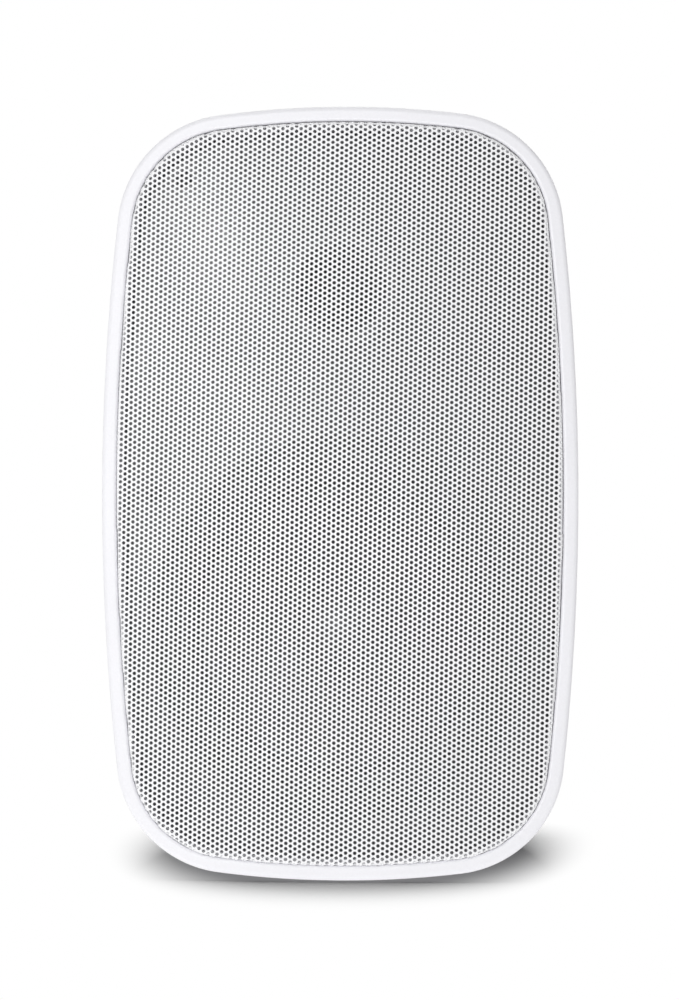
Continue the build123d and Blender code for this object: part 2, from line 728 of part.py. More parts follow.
def woofer_magnet():
    return ring(MAGNET_BORE, MAGNET_RADIUS, TOP_PLATE_BACK, MAGNET_BACK, 0, WOOFER_Z)


def woofer_back_plate():
    plate = disc(BACK_PLATE_RADIUS, MAGNET_BACK, MAGNET_BACK + BACK_PLATE_THICKNESS, 0, WOOFER_Z)
    return plate + disc(POLE_RADIUS, BASKET_FLOOR, MAGNET_BACK, 0, WOOFER_Z)


# Tweeter

def tweeter_faceplate():
    bore = TWEETER_GAP_RADIUS + GLUE
    return turned([
        (FACEPLATE_RADIUS, FACEPLATE_FRONT),
        (FACEPLATE_RADIUS, FACEPLATE_BACK),
        (COLLAR_RADIUS, FACEPLATE_BACK),
        (COLLAR_RADIUS, COLLAR_BACK),
        (bore, COLLAR_BACK),
        (bore, DOME_BASE),
        (ROLL_OUTER + GLUE, DOME_BASE),
        (ROLL_OUTER + GLUE, FACEPLATE_BACK),
        (ROLL_OUTER + FACEPLATE_FLARE, FACEPLATE_FRONT),
    ], TWEETER_Z)


def tweeter_gasket():
    bore = COLLAR_RADIUS + TWEETER_CUTOUT_CLEARANCE
    return ring(bore, FACEPLATE_RADIUS, FACEPLATE_BACK, BAFFLE_FRONT, 0, TWEETER_Z)


def tweeter_roll():
    front = at(DOME_BASE - DOME_SHEET)
    inner = DOME_RADIUS + GLUE
    section = make_face([
        ThreePointArc((ROLL_OUTER, front), ((ROLL_OUTER + inner) / 2, front - ROLL_RISE), (inner, front)),
        Polyline((inner, front), (inner, at(DOME_BASE)), (ROLL_OUTER, at(DOME_BASE)), (ROLL_OUTER, front)),
    ])
    return revolve(Plane(origin=(0, 0, TWEETER_Z)) * section, Axis((0, 0, TWEETER_Z), (0, 1, 0)))


def tweeter_dome():
    return cap_shell(DOME_RADIUS, DOME_RISE, DOME_SHEET, DOME_BASE, TWEETER_Z)


def tweeter_voice_coil():
    front = DOME_BASE + GLUE
    return ring(
        TWEETER_COIL_BORE, TWEETER_COIL_RADIUS, front, front + TWEETER_COIL_LENGTH, 0, TWEETER_Z
    )


def tweeter_pole_plate():
    back = COLLAR_BACK + TWEETER_POLE_THICKNESS
    return disc(TWEETER_POLE_RADIUS, COLLAR_BACK, back, 0, TWEETER_Z)


def tweeter_magnet():
    front = COLLAR_BACK + TWEETER_POLE_THICKNESS
    return disc(TWEETER_MAGNET_RADIUS, front, TWEETER_MAGNET_BACK, 0, TWEETER_Z)


def tweeter_rear_cup():
    back = TWEETER_MAGNET_BACK + TWEETER_CUP_FLOOR
    cup = disc(COLLAR_RADIUS, COLLAR_BACK, back, 0, TWEETER_Z)
    return cup - disc(TWEETER_GAP_RADIUS, COLLAR_BACK, TWEETER_MAGNET_BACK, 0, TWEETER_Z)


# Terminals: two sprung levers on one pin, each over the hole for a bare wire

def along_x(sketch, x, width):
    """A side-view sketch, depth across and Z up, made solid across X."""
    plane = Plane(origin=(x - width / 2, 0, 0), x_dir=(0, 1, 0), z_dir=(1, 0, 0))
    return extrude(plane * sketch, width)


def pin_place():
    return Pos(at(PIN_DEPTH), PIN_Z)


def terminal_cup():
    cup = slab(terminal_outline(0), TERMINAL_FACE - TERMINAL_FLANGE_THICKNESS, TERMINAL_FACE)
    cup = fillet(cup.faces().sort_by(Axis.Y)[-1].edges(), TERMINAL_EDGE_ROUND)
    cup = cup + slab(cup_outline(CUP_WALL), CUP_FLOOR_DEPTH - CUP_FLOOR, TERMINAL_FACE)
    cup = cup - slab(cup_outline(0), CUP_FLOOR_DEPTH, TERMINAL_FACE)
    block = Pos(0, TERMINAL_Z) * Rectangle(BLOCK_WIDTH, BLOCK_HEIGHT)
    cup = cup + slab(block, CUP_FLOOR_DEPTH, BLOCK_FACE)
    slot_width = LEVER_WIDTH + 2 * LEVER_SIDE_CLEARANCE
    slot_middle = (SLOT_TOP + SLOT_BOTTOM) / 2
    for x in (-POLE_SPACING / 2, POLE_SPACING / 2):
        slot = Pos(x, slot_middle) * Rectangle(slot_width, SLOT_TOP - SLOT_BOTTOM)
        cup = cup - slab(slot, SLOT_BACK, BLOCK_FACE)
        cup = cup - disc(WIRE_HOLE_RADIUS, SLOT_BACK, BLOCK_FACE, x, TERMINAL_Z - WIRE_HOLE_DROP)
    cup = cup - along_x(pin_place() * Circle(PIN_RADIUS + PIN_FIT), 0, BLOCK_WIDTH)
    for x, z in TERMINAL_SCREW_PLACES:
        cup = cup - screw_hole(
            x, z, TERMINAL_FACE, TERMINAL_SCREW_LENGTH, inwards=False, spare=SCREW_HOLE_CLEARANCE
        )
    return cup


def terminal_gasket():
    seal = terminal_outline(0) - cup_outline(CUP_WALL + TERMINAL_CLEARANCE)
    seal = slab(seal, TERMINAL_SEAT, TERMINAL_SEAT + TERMINAL_GASKET)
    for x, z in TERMINAL_SCREW_PLACES:
        seal = seal - screw_hole(
            x, z, TERMINAL_FACE, TERMINAL_SCREW_LENGTH, inwards=False, spare=SCREW_HOLE_CLEARANCE
        )
    return seal


def terminal_screws():
    return group(
        screw(x, z, TERMINAL_FACE, TERMINAL_SCREW_LENGTH, inwards=False)
        for x, z in TERMINAL_SCREW_PLACES
    )


def terminal_pin():
    return along_x(pin_place() * Circle(PIN_RADIUS), 0, BLOCK_WIDTH)


def lever(x):
    """A push tab that turns down about the pin, with an upturned end for the thumb."""
    near = at(PIN_DEPTH)
    far = at(BLOCK_FACE + LEVER_TAB)
    half = LEVER_END_RADIUS
    bend = at(BLOCK_FACE)
    side = make_face(Polyline(
        (near, PIN_Z - half),
        (far, PIN_Z - half + LEVER_TAB_RISE),
        (far, PIN_Z + half + LEVER_TAB_RISE),
        (bend, PIN_Z + half),
        (near, PIN_Z + half),
        close=True,
    ))
    side = side + pin_place() * Circle(half) - pin_place() * Circle(PIN_RADIUS + LEVER_PIN_FIT)
    tab = along_x(side, x, LEVER_WIDTH)
    return fillet(tab.faces().sort_by(Axis.Y)[-1].edges(), LEVER_TAB_ROUND)


def terminal_tabs():
    """Solder tabs behind the cup's floor."""
    end = CUP_FLOOR_DEPTH - CUP_FLOOR
    tabs = []
    for x in (-POLE_SPACING / 2, POLE_SPACING / 2):
        blade = Pos(x, TERMINAL_Z - WIRE_HOLE_DROP) * Rectangle(TAB_WIDTH, TAB_SHEET)
        tabs.append(slab(blade, end - TAB_LENGTH, end))
    return group(tabs)


# Crossover and damping pad

def crossover_board():
    board = slab(Pos(0, CROSSOVER_Z) * Rectangle(BOARD_WIDTH, BOARD_HEIGHT), BOARD_FRONT, BOARD_BACK)
    for x, z in BOARD_SCREW_PLACES:
        board = board - screw_hole(
            x, z, BOARD_FRONT, BOARD_SCREW_LENGTH, spare=SCREW_HOLE_CLEARANCE
        )
    return board


def crossover_screws():
    return group(screw(x, z, BOARD_FRONT, BOARD_SCREW_LENGTH) for x, z in BOARD_SCREW_PLACES)


def crossover_inductor():
    return ring(
        INDUCTOR_BORE, INDUCTOR_RADIUS, BOARD_FRONT - INDUCTOR_HEIGHT, BOARD_FRONT,
        INDUCTOR_X, CROSSOVER_Z,
    )


def crossover_capacitor():
    can = Pos(at(BOARD_FRONT - CAPACITOR_RADIUS), CROSSOVER_Z + CAPACITOR_RISE) * Circle(CAPACITOR_RADIUS)
    return along_x(can, CAPACITOR_X, CAPACITOR_LENGTH)


def crossover_resistor():
    block = Pos(RESISTOR_X, CROSSOVER_Z - RESISTOR_DROP) * Rectangle(RESISTOR_WIDTH, RESISTOR_SIDE)
    return slab(block, BOARD_FRONT - RESISTOR_SIDE, BOARD_FRONT)


def wadding():
    pad = Pos(0, WADDING_Z) * RectangleRounded(WADDING_WIDTH, WADDING_HEIGHT, WADDING_CORNER)
    return slab(pad, INNER_BACK - WADDING_THICKNESS, INNER_BACK)


PIECES = {
    "cabinet_shell": cabinet_shell,
    "bracket_inserts": bracket_inserts,
    "grille": grille,
    "front_baffle": front_baffle,
    "baffle_gasket": baffle_gasket,
    "baffle_screws": baffle_screws,
    "woofer_frame": woofer_frame,
    "woofer_gasket": woofer_gasket,
    "woofer_screws": woofer_screws,
    "woofer_surround": woofer_surround,
    "woofer_cone": woofer_cone,
    "woofer_dust_cap": woofer_dust_cap,
    "woofer_spider": woofer_spider,
    "woofer_voice_coil": woofer_voice_coil,
    "woofer_top_plate": woofer_top_plate,
    "woofer_magnet": woofer_magnet,
    "woofer_back_plate": woofer_back_plate,
    "tweeter_faceplate": tweeter_faceplate,
    "tweeter_gasket": tweeter_gasket,
    "tweeter_roll": tweeter_roll,
    "tweeter_dome": tweeter_dome,
    "tweeter_voice_coil": tweeter_voice_coil,
    "tweeter_pole_plate": tweeter_pole_plate,
    "tweeter_magnet": tweeter_magnet,
    "tweeter_rear_cup": tweeter_rear_cup,
    "terminal_cup": terminal_cup,
    "terminal_gasket": terminal_gasket,
    "terminal_screws": terminal_screws,
    "terminal_pin": terminal_pin,
    "terminal_tabs": terminal_tabs,
    "red_lever": lambda: lever(-POLE_SPACING / 2),
    "black_lever": lambda: lever(POLE_SPACING / 2),
    "crossover_board": crossover_board,
    "crossover_screws": crossover_screws,
    "crossover_inductor": crossover_inductor,
    "crossover_capacitor": crossover_capacitor,
    "crossover_resistor": crossover_resistor,
    "wadding": wadding,
}

os.makedirs(PART_FOLDER, exist_ok=True)
for node, make in PIECES.items():
    export_step(make(), os.path.join(PART_FOLDER, node + ".step"))
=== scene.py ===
from math import atan2, cos, hypot, pi, radians, sin, sqrt

import bpy
import numpy as np
from bpy.props import FloatProperty, FloatVectorProperty, PointerProperty
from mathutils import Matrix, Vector
from mathutils.kdtree import KDTree


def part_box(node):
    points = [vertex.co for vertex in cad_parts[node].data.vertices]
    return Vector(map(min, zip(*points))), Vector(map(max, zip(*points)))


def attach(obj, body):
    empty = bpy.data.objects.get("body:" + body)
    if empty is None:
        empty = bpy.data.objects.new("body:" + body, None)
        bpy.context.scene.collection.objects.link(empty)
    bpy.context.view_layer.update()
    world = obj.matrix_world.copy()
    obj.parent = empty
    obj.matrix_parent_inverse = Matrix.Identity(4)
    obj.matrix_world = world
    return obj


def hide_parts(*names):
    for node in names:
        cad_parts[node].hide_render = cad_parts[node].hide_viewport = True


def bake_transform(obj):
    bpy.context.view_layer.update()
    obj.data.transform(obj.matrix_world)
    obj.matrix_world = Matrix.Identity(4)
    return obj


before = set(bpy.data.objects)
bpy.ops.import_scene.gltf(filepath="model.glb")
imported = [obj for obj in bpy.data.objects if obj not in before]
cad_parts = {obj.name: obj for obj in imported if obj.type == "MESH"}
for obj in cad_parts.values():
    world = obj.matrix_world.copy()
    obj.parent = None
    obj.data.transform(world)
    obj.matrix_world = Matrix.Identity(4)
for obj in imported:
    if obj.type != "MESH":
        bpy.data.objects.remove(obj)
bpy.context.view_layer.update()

bl_info = {
    "name": "Patio speaker",
    "version": (1, 0, 0),
    "blender": (4, 5, 0),
    "location": "View3D > Sidebar > Speaker",
    "description": "Dresses the white patio speaker: perforated grille, screws, finishes and a studio stage",
    "category": "Object",
}

GRILLE_LOW, GRILLE_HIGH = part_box("grille")
SHELL_LOW, SHELL_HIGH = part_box("cabinet_shell")
MIDDLE_Z = (SHELL_LOW.z + SHELL_HIGH.z) / 2
FRONT_Y = GRILLE_LOW.y
CABINET = "cabinet"

# What lies nearer to a hole's middle than this share of its diameter is its rim
NEAR_HOLE = 0.75

# Share of the border past which an open edge is the sheet's own and not a hole's
OUTERMOST = 0.95

# Share of its width that the cross recess keeps at its floor, and how far its tool stands proud
RECESS_TAPER = 0.45
RECESS_SPARE = 1.1

# How far the first screw of a set is turned, and each one more than the last, in radians
FIRST_TURN = 0.4
NEXT_TURN = 0.7

# Faces of a screw that meet at less than this are shaded as one
SMOOTH_ANGLE = radians(35)

# What lies lower than this share of a screw head's height is on its seat
ON_SEAT = 0.02

# The floor: its reach, how far it lies under the part, and the grey of its paper under its own lamp
FLOOR_RADIUS = 6.0
FLOOR_DROP = 0.0004
PAPER_GREY = 0.25


# Sizes and colours that a user may change

def length(label, description, default):
    return FloatProperty(name=label, description=description, default=default, unit="LENGTH", precision=5)


def angle(label, description, degrees):
    return FloatProperty(name=label, description=description, default=radians(degrees), subtype="ANGLE")


def colour(label, description, default):
    return FloatVectorProperty(
        name=label, description=description, default=default, subtype="COLOR", size=3, min=0, max=1
    )


def power(label, description, default):
    return FloatProperty(name=label, description=description, default=default, unit="POWER")


class SpeakerGrilleSizes(bpy.types.PropertyGroup):
    hole: length("Hole", "Diameter of a hole in the sheet", 0.00130)
    pitch: length("Pitch", "Distance between neighbouring holes of a column", 0.0019266)
    column: length("Column", "Distance between the columns of holes", 0.0016611)
    turn: angle("Turn", "How far the columns of holes lean to the right", 1.214)
    phase_across: length("Phase across", "Shift of the holes to the right", 0.000289)
    phase_up: length("Phase up", "Shift of the holes upwards", 0.000524)
    overrun: length("Overrun", "How far holes go on past the outline, round the bend", 0.0006)
    border: length("Border", "How far the flat sheet reaches past the outline", 0.0018)
    thickness: length("Thickness", "Thickness of the sheet", 0.0008)
    sag: length("Sag", "How far the sheet sits down in its recess", 0.00015)
    edge_round: length("Edge round", "Radius of the bend along the sheet's edge", 0.0012)
    bulge_across: length("Bulge across", "Radius of the dome from side to side", 0.560)
    bulge_up: length("Bulge up", "Radius of the dome from bottom to top", 2.400)
    side_radius: length("Side radius", "Radius of the cabinet's bowed sides", 0.920)
    crown_radius: length("Crown radius", "Radius of the cabinet's top and bottom", 0.385)
    corner_radius: length("Corner radius", "Radius of the cabinet's corners", 0.042)


class SpeakerScrewSizes(bpy.types.PropertyGroup):
    head_radius: length("Head radius", "Radius of a pan head", 0.003)
    head_height: length("Head height", "Height of a pan head", 0.002)
    shank_radius: length("Shank radius", "Radius of the shank", 0.0015)
    head_round: length("Head round", "Rounding of a pan head", 0.0011)
    recess_width: length("Recess width", "Width of the cross recess", 0.0010)
    recess_reach: length("Recess reach", "Reach of the cross recess from the middle", 0.0018)
    recess_depth: length("Recess depth", "Depth of the cross recess", 0.0013)
    baffle_corner: length("Baffle corner", "How far the baffle's corner screws stand from the middle", 0.058)


class SpeakerFinishes(bpy.types.PropertyGroup):
    shell: colour("Cabinet", "White of the moulded cabinet", (0.885, 0.882, 0.915))
    sheet: colour("Grille", "White of the painted sheet", (0.915, 0.915, 0.93))
    baffle: colour("Baffle", "Dark grey of the baffle", (0.14, 0.14, 0.148))
    cup: colour("Terminal cup", "Black of the terminal cup", (0.045, 0.045, 0.048))
    cone: colour("Cone", "Dark grey of the woofer's cone", (0.13, 0.13, 0.137))
    red: colour("Red lever", "Red of the positive clamp", (0.62, 0.02, 0.02))


class SpeakerStageSizes(bpy.types.PropertyGroup):
    azimuth: angle("Azimuth", "How far the camera stands to the right", 2.72)
    elevation: angle("Elevation", "How far the camera stands above the aim", -1.0)
    distance: length("Distance", "From the camera to the rim", 0.899)
    aim_drop: length("Aim drop", "How far the aim lies under the middle of the front", 0.0026)
    rim_depth: length("Rim depth", "How far the rim's widest line lies behind the grille's top", 0.011)
    lens: FloatProperty(name="Lens", description="Focal length", default=89.0, subtype="DISTANCE_CAMERA")
    key_light: power("Key light", "Power of the softbox far to the left", 2.6)
    front_light: power("Front light", "Power of the softbox beside the camera", 10.5)
    strip_light: power("Strip light", "Power of the strip that gleams on the baffle", 1.2)
    top_light: power("Top light", "Power of the softbox overhead", 5.0)
    back_light: power("Back light", "Power of the softbox behind", 6.5)
    floor_light: power("Floor light", "Power of the softbox that lights the floor alone", 72.0)
    ambient: FloatProperty(name="Ambient", description="Level of the even light all round", default=0.22)
    floor_level: FloatProperty(
        name="Floor level", description="Level of the light that the white floor throws back", default=1.0
    )
    shadow_across: length("Shadow across", "How far to each side the floor is all white", 0.102)
    shadow_along: length("Shadow along", "How far in front and behind the floor is all white", 0.24)
    shadow_back: length("Shadow back", "How far behind the middle the shadow is deepest", 0.08)
    shadow_core: FloatProperty(
        name="Shadow core", description="Share of those reaches where the fade to white starts", default=0.7
    )


# Modelling helpers

def deselect_all():
    bpy.ops.object.select_all(action="DESELECT")


def active_piece(name):
    """The object that an operator has just added, under its own name."""
    piece = bpy.context.object
    piece.name = name
    piece.data.name = name
    return piece


def points_of(mesh):
    places = np.empty(len(mesh.vertices) * 3)
    mesh.vertices.foreach_get("co", places)
    return places.reshape(-1, 3)


def move_points(mesh, places):
    mesh.vertices.foreach_set("co", np.ascontiguousarray(places, dtype=np.float32).ravel())
    mesh.update()


def select_points(piece, mask):
    """Picks vertices by a mask, with the piece left in edit mode."""
    bpy.ops.object.mode_set(mode="EDIT")
    bpy.ops.mesh.select_mode(type="VERT")
    bpy.ops.mesh.select_all(action="DESELECT")
    bpy.ops.object.mode_set(mode="OBJECT")
    piece.data.vertices.foreach_set("select", np.asarray(mask, dtype=bool))
    bpy.ops.object.mode_set(mode="EDIT")


def select_faces(piece, mask):
    """Picks faces by a mask, with the piece left in edit mode."""
    bpy.ops.object.mode_set(mode="EDIT")
    bpy.ops.mesh.select_mode(type="FACE")
    bpy.ops.mesh.select_all(action="DESELECT")
    bpy.ops.object.mode_set(mode="OBJECT")
    piece.data.polygons.foreach_set("select", np.asarray(mask, dtype=bool))
    bpy.ops.object.mode_set(mode="EDIT")


def place_piece(piece, slot, *materials):
    """Seats a finished piece on the cabinet with its finish."""
    piece.data.materials.clear()
    for material in materials:
        piece.data.materials.append(material)
    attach(piece, CABINET)


def dress(material, *nodes):
    """Gives CAD nodes a finish."""
    for node in nodes:
        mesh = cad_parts[node].data
        mesh.materials.clear()
        mesh.materials.append(material)


def flexing_ring(node, material):
    """Takes a CAD ring over as a piece of its own, with its finish."""
    low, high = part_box(node)
    centre = (low + high) / 2
    ring = bpy.data.objects.new(node + "_ring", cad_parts[node].data.copy())
    bpy.context.collection.objects.link(ring)
    ring.data.materials.clear()
    ring.data.materials.append(material)
    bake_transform(ring)
    # Each point's distance from the ring's axis
    reach = np.hypot(*(points_of(ring.data)[:, (0, 2)] - (centre.x, centre.z)).T)
    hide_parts(node)


def work_on(*pieces):
    """Selects pieces, the last one active."""
    deselect_all()
    for piece in pieces:
        piece.select_set(True)
        bpy.context.view_layer.objects.active = piece


# Shader maths

class Signal:
    """A shader socket that Python's operators work on."""

    def __init__(self, look, socket):
        self.look = look
        self.socket = socket

    def maths(self, operation, first, second):
        return self.look.node("ShaderNodeMath", {"operation": operation}, {0: first, 1: second})

    def __add__(self, other):
        return self.maths("ADD", self, other)

    def __radd__(self, other):
        return self.maths("ADD", other, self)

    def __sub__(self, other):
        return self.maths("SUBTRACT", self, other)

    def __rsub__(self, other):
        return self.maths("SUBTRACT", other, self)

    def __mul__(self, other):
        return self.maths("MULTIPLY", self, other)

    def __rmul__(self, other):
        return self.maths("MULTIPLY", other, self)


class Look:
    """One finish, built out of shader nodes."""

    def __init__(self, name, tree=None):
        self.material = None
        if tree is None:
            self.material = bpy.data.materials.new(name)
            self.material.use_nodes = True
            tree = self.material.node_tree
        self.tree = tree
        self.tree.nodes.clear()

    def node(self, kind, settings=None, sockets=None, output=0):
        """Adds a node: its settings first, then the values or links of its sockets."""
        node = self.tree.nodes.new(kind)
        for key, value in (settings or {}).items():
            if key == "stops":
                self.set_stops(node.color_ramp, value)
            else:
                setattr(node, key, value)
        for key, value in (sockets or {}).items():
            if isinstance(value, Signal):
                self.tree.links.new(value.socket, node.inputs[key])
            else:
                node.inputs[key].default_value = value
        return Signal(self, node.outputs[output]) if node.outputs else None

    @staticmethod
    def set_stops(ramp, stops):
        for element, (position, shade) in zip(ramp.elements, stops):
            element.position = position
            element.color = (*shade, 1)

    def place(self):
        return self.node("ShaderNodeTexCoord", output="Object")

    def grain(self, size, detail=2.0):
        """Noise whose spots are about a given size."""
        return self.node(
            "ShaderNodeTexNoise", None,
            {"Vector": self.place(), "Scale": 1 / size, "Detail": detail},
        )

    def shown(self):
        """1 where the camera sees the surface, straight on or in a gloss, and 0 where it only gives light."""
        seen = self.node("ShaderNodeLightPath", output="Is Camera Ray")
        glossy = self.node("ShaderNodeLightPath", output="Is Glossy Ray")
        clear = self.node("ShaderNodeLightPath", output="Is Transmission Ray")
        return seen.maths("MAXIMUM", seen, glossy.maths("MAXIMUM", glossy, clear))

    def mix(self, share, first, second):
        """A colour between two colours."""
        return self.node(
            "ShaderNodeMix", {"data_type": "RGBA"},
            {0: share, 6: first, 7: second}, output=2,
        )

    def relief(self, height, depth):
        """A bump from a height between 0 and 1."""
        return self.node("ShaderNodeBump", None, {"Height": height, "Strength": 1.0, "Distance": depth})

    def finish(self, **sockets):
        """Ends the finish in one surface shader."""
        named = {key.replace("_", " ").title().replace("Ior", "IOR"): value for key, value in sockets.items()}
        shader = self.node("ShaderNodeBsdfPrincipled", None, named)
        self.node("ShaderNodeOutputMaterial", None, {"Surface": shader})
        return self.material


def shade(rgb, factor):
    return (*(min(1.0, part * factor) for part in rgb), 1.0)


# Finishes

def moulded(name, rgb, roughness, grain_size=0.0008, grain_depth=0.00006, specular=0.5):
    """Moulded plastic with a fine spark grain and a faint unevenness of colour."""
    look = Look(name)
    clouds = look.grain(0.04)
    grain = look.grain(grain_size, detail=3.0)
    return look.finish(
        base_color=look.mix(clouds * 0.4 + grain * 0.6, shade(rgb, 0.94), shade(rgb, 1.06)),
        roughness=roughness - 0.05 + clouds * 0.06 + grain * 0.04,
        specular_ior_level=specular,
        normal=look.relief(grain, grain_depth),
    )


def powder_coat(name, rgb):
    """Powder paint on sheet steel, with a slight orange peel."""
    look = Look(name)
    clouds = look.grain(0.03)
    peel = look.grain(0.0009)
    return look.finish(
        base_color=look.mix(clouds, shade(rgb, 0.99), shade(rgb, 1.01)),
        roughness=0.42 + peel * 0.08,
        normal=look.relief(peel, 0.00001),
    )


def gloss(name, rgb):
    """Polished moulded plastic with hairline scuffs."""
    look = Look(name)
    scuffs = look.grain(0.0016, detail=4.0)
    return look.finish(
        base_color=look.mix(scuffs, shade(rgb, 0.92), shade(rgb, 1.06)),
        roughness=0.16 + scuffs * 0.14,
        normal=look.relief(scuffs, 0.000008),
    )


def foam(name, rgb):
    """Closed-cell foam, pitted with small pores."""
    look = Look(name)
    cells = look.node("ShaderNodeTexVoronoi", None, {"Vector": look.place(), "Scale": 1400.0})
    return look.finish(
        base_color=look.mix(cells, shade(rgb, 0.6), shade(rgb, 1.5)),
        roughness=0.95 - cells * 0.15,
        normal=look.relief(cells, 0.00012),
    )


def rubber(name, rgb):
    """Butyl rubber with a dry bloom."""
    look = Look(name)
    bloom = look.grain(0.006, detail=4.0)
    skin = look.grain(0.0006)
    return look.finish(
        base_color=look.mix(bloom, shade(rgb, 0.8), shade(rgb, 1.35)),
        roughness=0.42 + bloom * 0.18,
        normal=look.relief(skin, 0.00002),
    )


def cone_sheet(name, rgb):
    """Pressed cone material with fine mineral flecks."""
    look = Look(name)
    flecks = look.grain(0.0008, detail=4.0)
    clouds = look.grain(0.012)
    return look.finish(
        base_color=look.mix(flecks, shade(rgb, 0.75), shade(rgb, 1.3)),
        roughness=0.24 + clouds * 0.1,
        normal=look.relief(flecks, 0.00001),
    )


def woven(name, rgb, thread, roughness):
    """Cloth: two sets of threads that cross."""
    look = Look(name)
    warp = look.node(
        "ShaderNodeTexWave", {"bands_direction": "X"},
        {"Vector": look.place(), "Scale": 0.5 / thread, "Distortion": 0.4},
    )
    weft = look.node(
        "ShaderNodeTexWave", {"bands_direction": "Z"},
        {"Vector": look.place(), "Scale": 0.5 / thread, "Distortion": 0.4},
    )
    threads = warp * weft
    return look.finish(
        base_color=look.mix(threads, shade(rgb, 0.7), shade(rgb, 1.25)),
        roughness=roughness - threads * 0.1,
        normal=look.relief(threads, thread * 0.3),
    )


def wound(name, rgb, wire):
    """Lacquered wire, laid turn by turn."""
    look = Look(name)
    turns = look.node(
        "ShaderNodeTexWave", {"bands_direction": "Y", "wave_profile": "SIN"},
        {"Vector": look.place(), "Scale": 0.16 / wire},
    )
    return look.finish(
        base_color=look.mix(turns, shade(rgb, 0.55), shade(rgb, 1.1)),
        metallic=0.9,
        roughness=0.4 - turns * 0.16,
        normal=look.relief(turns, wire * 0.4),
    )


def plated(name, rgb, roughness):
    """Plated steel with a mottled bloom and fine scratches."""
    look = Look(name)
    bloom = look.grain(0.004, detail=4.0)
    scratches = look.grain(0.0004)
    return look.finish(
        base_color=look.mix(bloom, shade(rgb, 0.86), shade(rgb, 1.08)),
        metallic=1.0,
        roughness=roughness + bloom * 0.14,
        normal=look.relief(scratches, 0.000004),
    )


def turned_brass(name, rgb):
    """Brass with the rings that a lathe leaves."""
    look = Look(name)
    rings = look.node(
        "ShaderNodeTexWave", {"bands_direction": "Z"},
        {"Vector": look.place(), "Scale": 900.0, "Distortion": 0.6},
    )
    tarnish = look.grain(0.003, detail=4.0)
    return look.finish(
        base_color=look.mix(tarnish, shade(rgb, 0.8), shade(rgb, 1.08)),
        metallic=1.0,
        roughness=0.26 + tarnish * 0.16,
        normal=look.relief(rings, 0.000015),
    )


def ferrite(name, rgb):
    """Sintered magnet with a speckled matt skin."""
    look = Look(name)
    specks = look.grain(0.0007, detail=5.0)
    return look.finish(
        base_color=look.mix(specks, shade(rgb, 0.6), shade(rgb, 1.6)),
        roughness=0.62 + specks * 0.2,
        normal=look.relief(specks, 0.00004),
    )


def fired_ceramic(name, rgb):
    """Cement resistor body, chalky and pitted."""
    look = Look(name)
    pits = look.grain(0.0011, detail=5.0)
    return look.finish(
        base_color=look.mix(pits, shade(rgb, 0.88), shade(rgb, 1.05)),
        roughness=0.7 + pits * 0.2,
        normal=look.relief(pits, 0.00005),
    )


def circuit_board(name, rgb):
    """Green lacquer over copper tracks."""
    look = Look(name)
    tracks = look.node(
        "ShaderNodeTexVoronoi", {"distance": "MANHATTAN"},
        {"Vector": look.place(), "Scale": 110.0},
    )
    lines = look.node(
        "ShaderNodeValToRGB", {"stops": ((0.42, (0, 0, 0)), (0.5, (1, 1, 1)))}, {"Fac": tracks}
    )
    return look.finish(
        base_color=look.mix(lines, shade(rgb, 0.8), shade(rgb, 1.7)),
        roughness=0.32 + lines * 0.06,
        normal=look.relief(lines, 0.00003),
    )


def fibre_fill(name, rgb):
    """Loose polyester wadding."""
    look = Look(name)
    tangle = look.grain(0.0016, detail=8.0)
    tufts = look.grain(0.009, detail=3.0)
    return look.finish(
        base_color=look.mix(tangle, shade(rgb, 0.72), shade(rgb, 1.06)),
        roughness=0.95 - tufts * 0.1,
        normal=look.relief(tangle + tufts, 0.0009),
    )


# Finishes that several pieces have, each with how it is made
SHARED_FINISHES = {
    "gasket_foam": (foam, (0.015, 0.015, 0.015)),
    "surround_rubber": (rubber, (0.085, 0.085, 0.09)),
    "blackened_steel": (powder_coat, (0.095, 0.095, 0.1)),
    "zinc_plate": (plated, (0.62, 0.63, 0.64), 0.28),
    "coil_copper": (wound, (0.72, 0.3, 0.12), 0.0006),
    "magnet_ferrite": (ferrite, (0.045, 0.045, 0.05)),
}


def shared(name):
    """A shared finish, made the first time that it is asked for."""
    make, *values = SHARED_FINISHES[name]
    return bpy.data.materials.get(name) or make(name, *values)


# Grille

